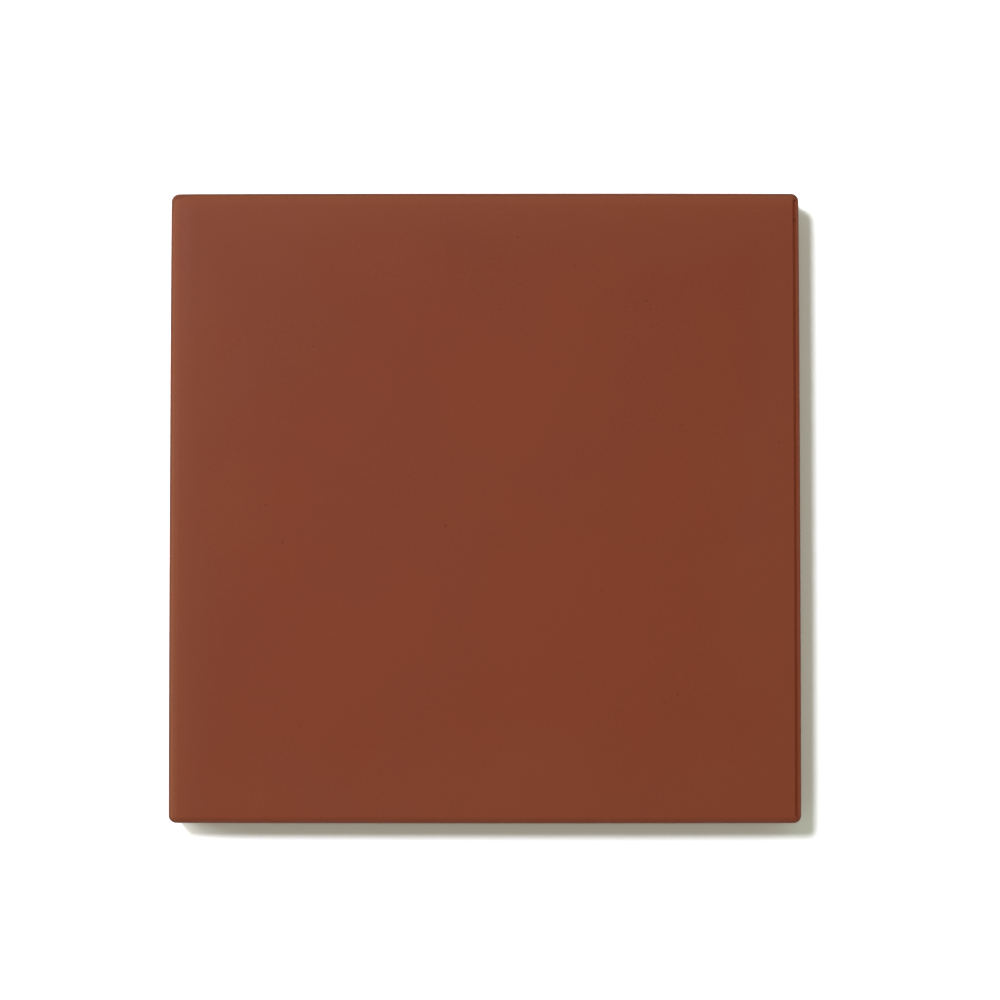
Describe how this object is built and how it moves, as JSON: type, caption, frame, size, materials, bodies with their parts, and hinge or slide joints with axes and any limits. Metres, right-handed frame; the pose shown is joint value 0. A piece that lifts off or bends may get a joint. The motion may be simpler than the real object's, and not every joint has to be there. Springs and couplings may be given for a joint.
{
  "type": "clinker tile",
  "caption": "Square unglazed clinker floor tile, dust-pressed in one piece, with a rounded arris and keying pockets on its back.",
  "frame": {"origin": "middle of the back, on the plane that the tile rests on", "axes": "+Z out of the face, through the thickness; +X and +Y along the sides"},
  "size_m": [0.1, 0.1, 0.009],
  "materials": {
    "fired_clay": "satin"
  },
  "bodies": {
    "root": {"tile": "fired_clay"}
  },
  "joints": []
}
